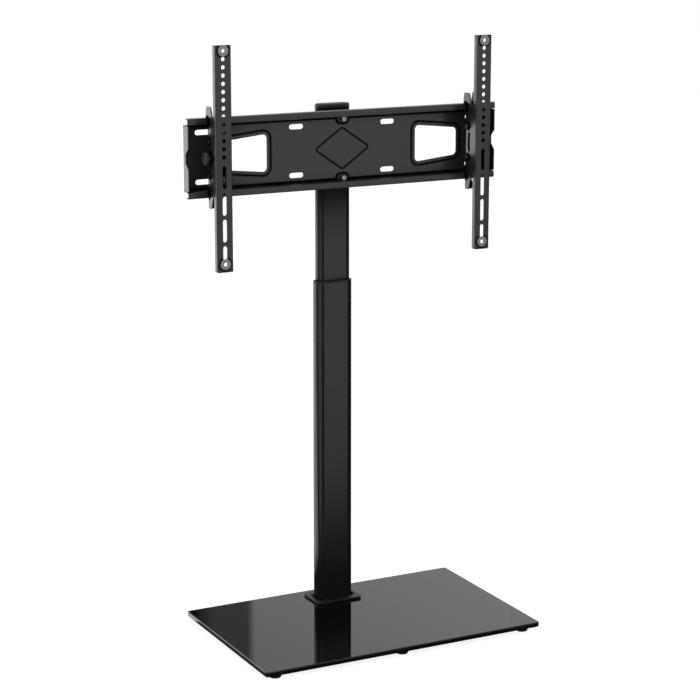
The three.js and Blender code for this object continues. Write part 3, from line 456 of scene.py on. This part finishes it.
def dress(name, edge, sharp=50):
    """Gives a CAD solid its finish and rounds its sharp edges by modifiers, with its own points kept."""
    node = frame["nodes"][name]
    node.data.materials.clear()
    node.data.materials.append(finish_for(SLOT_OF[name]))
    normals = node.data.attributes.get("custom_normal")
    if normals:
        node.data.attributes.remove(normals)
    node.data.shade_smooth()
    weld = node.modifiers.new("Weld", "WELD")
    weld.merge_threshold = mm(0.01)
    flats = node.modifiers.new("Flats", "DECIMATE")
    flats.decimate_type = "DISSOLVE"
    flats.angle_limit = math.radians(0.5)
    rounding = node.modifiers.new("Rounding", "BEVEL")
    rounding.width = edge
    rounding.segments = 2
    rounding.limit_method = "ANGLE"
    rounding.angle_limit = math.radians(sharp)
    rounding.use_clamp_overlap = True
    shading = node.modifiers.new("Shading", "WEIGHTED_NORMAL")
    shading.keep_sharp = True


# Turned and moulded details. A ring is (height, radius) in millimetres, and its radius may be a rule that
# takes the angle and the height.


def loft(rings, steps, closed=False):
    """Skins rings round Z into points in metres and faces. A ring of no radius is one point."""
    points, rows, faces = [], [], []
    for height, radius in rings:
        if radius == 0:
            rows.append([len(points)] * steps)
            points.append((0, 0, mm(height)))
            continue
        row = []
        for i in range(steps):
            angle = 2 * math.pi * i / steps
            reach = mm(radius(angle, height) if callable(radius) else radius)
            row.append(len(points))
            points.append((reach * math.cos(angle), reach * math.sin(angle), mm(height)))
        rows.append(row)
    pairs = list(zip(rows, rows[1:]))
    if closed:
        pairs.append((rows[-1], rows[0]))
    for low, high in pairs:
        for i in range(steps):
            j = (i + 1) % steps
            corners = [low[i], low[j], high[j], high[i]]
            face = [c for k, c in enumerate(corners) if c not in corners[:k]]
            if len(face) > 2:
                faces.append(face)
    return points, faces


def hexagonal(flats, cone=None):
    """Radius rule of a hexagon across flats, held inside a cone where one is given."""

    def rule(angle, height):
        turn = angle % (math.pi / 3) - math.pi / 6
        radius = flats / 2 / math.cos(turn)
        return min(radius, cone(height)) if cone else radius

    return rule


def threaded(radius, pitch):
    """Radius rule of a single-start thread with sharp crests and roots."""
    depth = THREAD_DEPTH * pitch

    def rule(angle, height):
        phase = (height / pitch - angle / (2 * math.pi)) % 1
        return radius - depth * (1 - abs(2 * phase - 1))

    return rule


def ribbed(radius, depth, count):
    """Radius rule of straight ribs round a grip."""

    def rule(angle, height):
        return radius - depth * (0.5 - 0.5 * math.cos(count * angle)) ** 1.5

    return rule


def rounded_rim(height, radius, edge, steps=4):
    """Rings over an outer top edge, from the side inward."""
    turns = [math.pi / 2 * i / steps for i in range(steps + 1)]
    return [(height - edge + edge * math.sin(t), radius - edge + edge * math.cos(t)) for t in turns]


def thread_rings(start, end, rule, pitch):
    count = max(2, round((end - start) / pitch * RINGS_PER_TURN))
    return [(start + (end - start) * i / count, rule) for i in range(count + 1)]


def place_detail(name, node, aim, mesh_parts):
    """Makes a detail along an aim through the middle of a CAD solid, which it stands for."""
    low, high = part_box(node)
    direction = Vector(AIMS[aim])
    span = abs((high - low).dot(direction))
    start = (low + high) / 2 - direction * span / 2
    mesh = bpy.data.meshes.new(name)
    mesh.from_pydata(mesh_parts[0], [], mesh_parts[1])
    mesh.validate()
    mesh.shade_smooth()
    mesh.set_sharp_from_angle(angle=math.radians(SMOOTH_UP_TO))
    detail = bpy.data.objects.new(name, mesh)
    bpy.context.scene.collection.objects.link(detail)
    turn = direction.to_track_quat("Z", "Y").to_matrix().to_4x4()
    detail.matrix_world = Matrix.Translation(start) @ turn
    slot = SLOT_OF[node]
    mesh.materials.append(finish_for(slot))
    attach(detail, frame["nodes"][node]["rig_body"])
    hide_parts(node)


def length_along(node, aim):
    low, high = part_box(node)
    return in_mm(abs((high - low).dot(Vector(AIMS[aim]))))


def socket_screw(node, aim, screw, pitch, ribs=0):
    """A screw with a rolled thread, a neck, a head with a rounded rim and a hexagon socket."""
    shank, head, head_height, socket = screw
    total = length_along(node, aim)
    seat = total - head_height
    core = shank / 2
    thread = threaded(core, pitch)
    run = min(seat - 0.4, LONGEST_THREAD)
    rim = rounded_rim(total, head / 2, min(0.9, head_height * 0.3))
    side = ribbed(head / 2, 0.16, ribs) if ribs else head / 2
    rings = [(0, 0), (0, core - 0.9), (0.6, core - 0.35), *thread_rings(0.7, run, thread, pitch)]
    rings += [(run + 0.2, core - 0.3), (run + 0.5, core - 0.05), (seat, core - 0.05)]
    rings += [(seat, head / 2 - 0.35), (seat + 0.3, side), (rim[0][0], side), *rim[1:]]
    bottom = total - head_height * 0.6
    rings += [(total, socket / 2 + 0.75), (total - 0.25, hexagonal(socket)), (bottom, hexagonal(socket))]
    rings += [(bottom - 0.7, 0)]
    place_detail(f"{node}_screw", node, aim, loft(rings, 96 if ribs else 48))


def chamfered_nut(node, aim, nut):
    """A hexagon nut with chamfered corners and a countersunk bore."""
    bore, flats = nut
    height = length_along(node, aim)
    corner = flats / math.sqrt(3)

    def cone(level):
        return min(corner, flats / 2 * 0.97 + min(level, height - level) * 1.6)

    inside = bore / 2 + 0.05
    outside = hexagonal(flats, cone)
    levels = [0, 0.25, 0.6, height / 2, height - 0.6, height - 0.25, height]
    rings = [(0, inside + 0.6), *[(z, outside) for z in levels], (height, inside + 0.6)]
    rings += [(height - 0.6, inside), (height / 2, inside), (0.6, inside)]
    place_detail(f"{node}_hexagon", node, aim, loft(rings, 72, closed=True))


def rounded_washer(node, aim, washer):
    """A flat ring with rounded edges."""
    outer, bore, edge = washer
    height = length_along(node, aim)
    rings = [(edge, outer / 2), *rounded_rim(height, outer / 2, edge, 3)]
    rings += [(height, bore / 2 + edge), (height - edge, bore / 2), (edge, bore / 2), (0, bore / 2 + edge)]
    rings += [(0, outer / 2 - edge)]
    place_detail(f"{node}_ring", node, aim, loft(rings, 64, closed=True))


class StandOperator:
    """What the stand's operators share."""

    bl_options = {"REGISTER", "UNDO"}


class STAND_OT_glass_base(StandOperator, bpy.types.Operator):
    """Finish the glass slab and its rubber feet"""

    bl_idname = "stand.glass_base"
    bl_label = "Glass Base"

    def execute(self, context):
        sizes = context.scene.stand_sizes
        dress("glass_base", sizes.glass_edge, sharp=40)
        for row in ("front", "back"):
            for column in ("left", "middle", "right"):
                self.foot(f"foot_{row}_{column}")
        return {"FINISHED"}

    def foot(self, node):
        """A tapered pad with a dished sole, three grip grooves and a lip under the glass."""
        height = length_along(node, "up")
        rings = [(1.1, 0), (1.1, 5.2), (0.5, 6.2), (0, 7.4), (0, 10.2), (0.25, 10.8), (0.7, 11.05)]
        for level in (1.6, 3.2, 4.8):
            wall = 11 + 3 * level / (height - 2)
            rings += [(level, wall), (level + 0.25, wall - 0.35)]
            rings += [(level + 0.65, wall - 0.35), (level + 0.9, wall + 0.3)]
        rings += [(height - 2.0, 13.7), *rounded_rim(height, 14, 0.8), (height, 0)]
        place_detail(f"{node}_pad", node, "up", loft(rings, 64))


class STAND_OT_column_foot(StandOperator, bpy.types.Operator):
    """Finish the plates, cover and bolts where the column stands on the glass"""

    bl_idname = "stand.column_foot"
    bl_label = "Column Foot"

    def execute(self, context):
        sizes = context.scene.stand_sizes
        dress("foot_plate", sizes.sheet_edge)
        dress("foot_cover", sizes.moulded_edge / 2)
        dress("clamp_plate", sizes.sheet_edge)
        for i in range(1, 5):
            socket_screw(f"base_bolt_{i}", "down", SMALL_SCREW, in_mm(sizes.small_pitch))
        return {"FINISHED"}


class STAND_OT_column(StandOperator, bpy.types.Operator):
    """Finish the telescopic column, its guides, cap and lock screws"""

    bl_idname = "stand.column"
    bl_label = "Column"

    def execute(self, context):
        sizes = context.scene.stand_sizes
        for name in ("outer_tube", "inner_tube"):
            dress(name, sizes.sheet_edge)
        for name in ("tube_guide", "lower_glide", "column_cap"):
            dress(name, sizes.moulded_edge)
        for i in (1, 2):
            node = f"lock_bolt_{i}"
            socket_screw(node, "backward", LARGE_SCREW, in_mm(sizes.large_pitch))
            self.boss_weld(node)
        return {"FINISHED"}

    def boss_weld(self, node):
        """The rippled bead that joins a lock boss to the back of the tube."""
        radius, bead, boss_height = mm(8.6), mm(1.3), mm(7)
        ripples, ripple_depth, flatness = 26, 0.14, 0.75
        around, across = 104, 10
        low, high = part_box(node)
        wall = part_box("outer_tube")[1].y - boss_height
        points, faces = [], []
        for i in range(around):
            angle = 2 * math.pi * i / around
            swell = bead * (1 + ripple_depth * math.cos(ripples * angle))
            for j in range(across):
                turn = 2 * math.pi * j / across
                reach = radius + swell * math.cos(turn)
                rise = swell * flatness * math.sin(turn)
                points.append((reach * math.cos(angle), rise, reach * math.sin(angle)))
        for i in range(around):
            for j in range(across):
                a, b = i * across, (i + 1) % around * across
                k = (j + 1) % across
                faces.append([a + j, b + j, b + k, a + k])
        mesh = bpy.data.meshes.new(f"{node}_weld")
        mesh.from_pydata(points, [], faces)
        mesh.shade_smooth()
        mesh.materials.append(finish_for("tube_paint"))
        bead_object = bpy.data.objects.new(f"{node}_weld", mesh)
        bpy.context.scene.collection.objects.link(bead_object)
        bead_object.location = (0, wall, (low.z + high.z) / 2)
        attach(bead_object, "base")


class STAND_OT_swivel(StandOperator, bpy.types.Operator):
    """Finish the swivel brackets and their pin, nut, washers and bolts"""

    bl_idname = "stand.swivel"
    bl_label = "Swivel"

    def execute(self, context):
        sizes = context.scene.stand_sizes
        for name in ("column_bracket", "swivel_bracket"):
            dress(name, sizes.sheet_edge)
        pitch = in_mm(sizes.large_pitch)
        socket_screw("swivel_pin", "up", LARGE_SCREW, pitch)
        chamfered_nut("swivel_nut", "down", LARGE_NUT)
        for level in LEVELS:
            rounded_washer(f"swivel_washer_{level}", "up", SWIVEL_WASHER)
        for i in (1, 2):
            socket_screw(f"column_bolt_{i}", "forward", LARGE_SCREW, pitch)
        return {"FINISHED"}


class STAND_OT_mount_plate(StandOperator, bpy.types.Operator):
    """Finish the pressed mount plate with its two centre bolts"""

    bl_idname = "stand.mount_plate"
    bl_label = "Mount Plate"

    def execute(self, context):
        sizes = context.scene.stand_sizes
        dress("mount_plate", sizes.sheet_edge, sharp=40)
        for level in LEVELS:
            dress(f"plate_washer_{level}", sizes.sheet_edge)
            bolt = f"plate_bolt_{level}"
            socket_screw(bolt, "forward", GRIP_SCREW, in_mm(sizes.small_pitch), ribs=30)
            chamfered_nut(f"plate_nut_{level}", "backward", SMALL_NUT)
        return {"FINISHED"}


class STAND_OT_arms(StandOperator, bpy.types.Operator):
    """Finish the screen arms, their spacer washers and the hook brackets behind them"""

    bl_idname = "stand.arms"
    bl_label = "Screen Arms"

    def execute(self, context):
        sizes = context.scene.stand_sizes
        for side in SIDES:
            dress(f"arm_{side}", sizes.sheet_edge)
            dress(f"hook_bracket_{side}", sizes.sheet_edge)
            for level in LEVELS:
                rounded_washer(f"arm_washer_{side}_{level}", "forward", ARM_WASHER)
        return {"FINISHED"}


class STAND_OT_tilt(StandOperator, bpy.types.Operator):
    """Make the tilt knobs, their studs, the guide bolts and the safety screws"""

    bl_idname = "stand.tilt"
    bl_label = "Tilt Hardware"

    def execute(self, context):
        sizes = context.scene.stand_sizes
        small_pitch, large_pitch = in_mm(sizes.small_pitch), in_mm(sizes.large_pitch)
        for side, inward in SIDES.items():
            for level in LEVELS:
                socket_screw(f"guide_bolt_{side}_{level}", side, SMALL_SCREW, small_pitch)
                chamfered_nut(f"guide_nut_{side}_{level}", inward, SMALL_NUT)
            self.knob(side, sizes.knob_lobes)
            self.stud(side, large_pitch)
            self.safety_screw(side, sizes.grip_ribs, small_pitch)
        return {"FINISHED"}

    def knob(self, side, lobes):
        """A lobed grip on a round boss, dished at its outer end."""
        node = f"tilt_knob_{side}"
        total = length_along(node, side)
        boss, bore, grip_height = 8, 4.3, 8
        widest, scallop_depth, back_edge, front_edge = 13.7, 1.9, 1.6, 2
        skirt = total - grip_height

        def grip(shrink):
            def rule(angle, height):
                scallop = (0.5 - 0.5 * math.cos(lobes * angle)) ** 1.4
                return widest - shrink - scallop_depth * scallop

            return rule

        rings = [(0, bore), (0, boss - 0.4), (0.4, boss), (skirt - 0.2, boss), (skirt, boss + 0.3)]
        turns = [math.pi / 2 * i / 5 for i in range(6)]
        for turn in turns:
            rings.append((skirt + back_edge * (1 - math.cos(turn)), grip(back_edge * (1 - math.sin(turn)))))
        for turn in turns:
            level = total - front_edge * (1 - math.sin(turn))
            rings.append((level, grip(front_edge * (1 - math.cos(turn)))))
        rings += [(total, 8.6), (total - 0.3, 8.1), (total - 1, 7.7), (total - 1, 6.4), (total - 0.5, 5.9)]
        rings += [(total - 0.35, 3), (total - 0.3, 0)]
        place_detail(f"{node}_grip", node, side, loft(rings, 96))

    def stud(self, side, pitch):
        """The threaded stud moulded into the knob."""
        node = f"knob_stud_{side}"
        total = length_along(node, side)
        rings = [(0, 0), (0, 3.1), (0.6, 3.6)]
        rings += thread_rings(0.7, total - 0.5, threaded(4, pitch), pitch)
        rings += [(total, 3.3), (total, 0)]
        place_detail(f"{node}_thread", node, side, loft(rings, 48))

    def safety_screw(self, side, ribs, pitch):
        """A ribbed thumb screw with a tapering grip."""
        node = f"safety_screw_{side}"
        total = length_along(node, "up")
        grip = 10.5
        rings = [(0, 0), (0, 5.2), (0.25, 5.7)]
        for i in range(9):
            level = 0.7 + (grip - 1.6) * i / 8
            rings.append((level, ribbed(6.5 - 2 * level / grip, 0.55, ribs)))
        rings += [(grip - 0.5, 4.3), (grip, 3.9), (grip, 2.95)]
        rings += thread_rings(grip + 0.2, total - 0.8, threaded(3, pitch), pitch)
        rings += [(total - 0.5, 2.3), (total, 1.9), (total, 0)]
        place_detail(f"{node}_thumb", node, "up", loft(rings, 144))


class STAND_OT_stage(StandOperator, bpy.types.Operator):
    """Lay the floor, set the room, the cards, the softbox and the camera"""

    bl_idname = "stand.stage"
    bl_label = "Studio"

    def execute(self, context):
        stage = context.scene.stand_stage
        context.scene.view_settings.view_transform = "Standard"
        self.floor(context, stage)
        self.world(context, stage)
        for card in CARDS:
            self.card(context, *card)
        for name, start, end, strength, near in FLOOR_CARDS:
            self.card(context, name, start, end, strength, strength, near=near)
        self.softbox(context, stage)
        self.camera(context, stage)
        return {"FINISHED"}

    def floor(self, context, stage):
        half = stage.floor_size / 2
        mesh = bpy.data.meshes.new("floor")
        corners = [(-half, -half, 0), (half, -half, 0), (half, half, 0), (-half, half, 0)]
        mesh.from_pydata(corners, [], [[0, 1, 2, 3]])
        floor = bpy.data.objects.new("floor", mesh)
        context.scene.collection.objects.link(floor)
        mesh.materials.append(self.paper())

    def card(self, context, name, start, end, first, last, top=None, near=None):
        """A curved card that only gloss sees, upright or, where it has a near edge, flat on the floor."""
        points = []
        for i in range(CARD_STEPS + 1):
            bearing = math.radians(start + (end - start) * i / CARD_STEPS)
            across, along = math.sin(bearing), math.cos(bearing)
            points.append((CARD_RADIUS * across, CARD_RADIUS * along, CARD_LIFT))
            reach, level = (near, CARD_LIFT) if near else (CARD_RADIUS, top)
            points.append((reach * across, reach * along, level))
        faces = [[2 * i, 2 * i + 1, 2 * i + 3, 2 * i + 2] for i in range(CARD_STEPS)]
        mesh = bpy.data.meshes.new(name)
        mesh.from_pydata(points, [], faces)
        card = bpy.data.objects.new(name, mesh)
        context.scene.collection.objects.link(card)
        for kind in ("camera", "diffuse", "shadow", "transmission", "volume_scatter"):
            setattr(card, f"visible_{kind}", False)
        board, tree = blank(f"{name}_board")
        glow = white_light(tree, "ShaderNodeEmission", first)
        if first != last:
            place = put(tree, "ShaderNodeTexCoord").outputs["Object"]
            radial = put(tree, "ShaderNodeTexGradient", {"gradient_type": "RADIAL"}, links={"Vector": place})
            within = [(90 - bearing) / 360 + 0.5 for bearing in (start, end)]
            level = spread(tree, radial.outputs["Fac"], (first, last), within)
            tree.links.new(level, glow.inputs["Strength"])
        put(tree, "ShaderNodeOutputMaterial", links={"Surface": glow.outputs["Emission"]})
        mesh.materials.append(board)

    def paper(self):
        """Matt white background paper."""
        # About a third of the stand's soft shadow is left where the camera sees the paper. For bounced light
        # it is painted near black under the stand, behind it and on its right, as painted shade, and white
        # further out.
        finish, tree, place = patterned("matt_white_background_paper")
        tone = blend(tree, noise(tree, place, per_metre(40), 2), linear("f4f4f4"), linear("f7f7f7"))
        seen = put(tree, "ShaderNodeLightPath").outputs["Is Camera Ray"]
        parts = put(tree, "ShaderNodeSeparateXYZ", links={"Vector": place}).outputs
        unshaded_share = seen
        for axis, near, far in PAPER_FALLS:
            away = spread(tree, parts[axis], (0, 1), within=(near, far))
            unshaded_share = reckon(tree, "MAXIMUM", unshaded_share, away)
        # Painted shade: near black round the stand for bounced light, the paper's tone further out
        shaded_paper_tone = blend(tree, unshaded_share, linear("0a0a0a"), tone)
        matt = put(tree, "ShaderNodeBsdfDiffuse", links={"Color": shaded_paper_tone}).outputs["BSDF"]
        white = white_light(tree, "ShaderNodeEmission", PAPER_GLOW).outputs["Emission"]
        share = reckon(tree, "MULTIPLY", seen, PAPER_SHARE)
        mixed = put(tree, "ShaderNodeMixShader", links={0: share, 1: matt, 2: white}).outputs["Shader"]
        put(tree, "ShaderNodeOutputMaterial", links={"Surface": mixed})
        return finish

    def world(self, context, stage):
        """Even pale room: white where it is seen, at the ambient level where it lights."""
        room = bpy.data.worlds.new("pale_room")
        room.use_nodes = True
        tree = room.node_tree
        tree.nodes.clear()
        path = put(tree, "ShaderNodeLightPath").outputs
        seen = reckon(tree, "MAXIMUM", path["Is Camera Ray"], path["Is Transmission Ray"])
        seen = reckon(tree, "MAXIMUM", seen, path["Is Glossy Ray"])
        white = white_light(tree, "ShaderNodeBackground", 1).outputs["Background"]
        light = white_light(tree, "ShaderNodeBackground", stage.ambient).outputs["Background"]
        mixed = put(tree, "ShaderNodeMixShader", links={0: seen, 1: light, 2: white}).outputs["Shader"]
        put(tree, "ShaderNodeOutputWorld", links={"Surface": mixed})
        context.scene.world = room

    def softbox(self, context, stage):
        light = bpy.data.lights.new("front_softbox", "AREA")
        light.size = stage.softbox_size
        light.energy = stage.softbox_power
        lamp = bpy.data.objects.new("front_softbox", light)
        context.scene.collection.objects.link(lamp)
        lamp.location = stage.softbox_place
        aim = Vector(stage.softbox_aim) - Vector(stage.softbox_place)
        lamp.rotation_euler = aim.to_track_quat("-Z", "Y").to_euler()

    def camera(self, context, stage):
        forward = Vector((
            math.sin(stage.heading) * math.cos(stage.dip),
            math.cos(stage.heading) * math.cos(stage.dip),
            -math.sin(stage.dip),
        ))
        level = Vector((math.cos(stage.heading), -math.sin(stage.heading), 0))
        above = level.cross(forward)
        right = level * math.cos(stage.roll) + above * math.sin(stage.roll)
        up = above * math.cos(stage.roll) - level * math.sin(stage.roll)
        data = bpy.data.cameras.new("view")
        data.lens = stage.lens
        data.sensor_width = 36
        data.clip_end = 60
        camera = bpy.data.objects.new("view", data)
        context.scene.collection.objects.link(camera)
        turn = Matrix((right, up, -forward)).transposed().to_4x4()
        camera.matrix_world = Matrix.Translation(stage.camera_place) @ turn
        context.scene.camera = camera


OPERATORS = (
    STAND_OT_glass_base,
    STAND_OT_column_foot,
    STAND_OT_column,
    STAND_OT_swivel,
    STAND_OT_mount_plate,
    STAND_OT_arms,
    STAND_OT_tilt,
    STAND_OT_stage,
)


class STAND_PT_tools(bpy.types.Panel):
    """Lists the stand's pieces and their settings"""

    bl_label = "Screen Stand"
    bl_idname = "STAND_PT_tools"
    bl_space_type = "VIEW_3D"
    bl_region_type = "UI"
    bl_category = "Stand"

    def draw(self, context):
        for operator in OPERATORS:
            self.layout.operator(operator.bl_idname)
        for group in (context.scene.stand_finish, context.scene.stand_sizes, context.scene.stand_stage):
            box = self.layout.box()
            for key in group.__annotations__:
                box.prop(group, key)


GROUPS = {
    "stand_finish": STAND_PG_finish,
    "stand_sizes": STAND_PG_sizes,
    "stand_stage": STAND_PG_stage,
}


def register():
    for kind in (*GROUPS.values(), *OPERATORS, STAND_PT_tools):
        bpy.utils.register_class(kind)
    for name, kind in GROUPS.items():
        setattr(bpy.types.Scene, name, bpy.props.PointerProperty(type=kind))


def unregister():
    for name in GROUPS:
        delattr(bpy.types.Scene, name)
    for kind in (STAND_PT_tools, *reversed(OPERATORS), *GROUPS.values()):
        bpy.utils.unregister_class(kind)


def main():
    register()
    for operator in OPERATORS:
        group, name = operator.bl_idname.split(".")
        getattr(getattr(bpy.ops, group), name)()


if __name__ == "__main__":
    main()
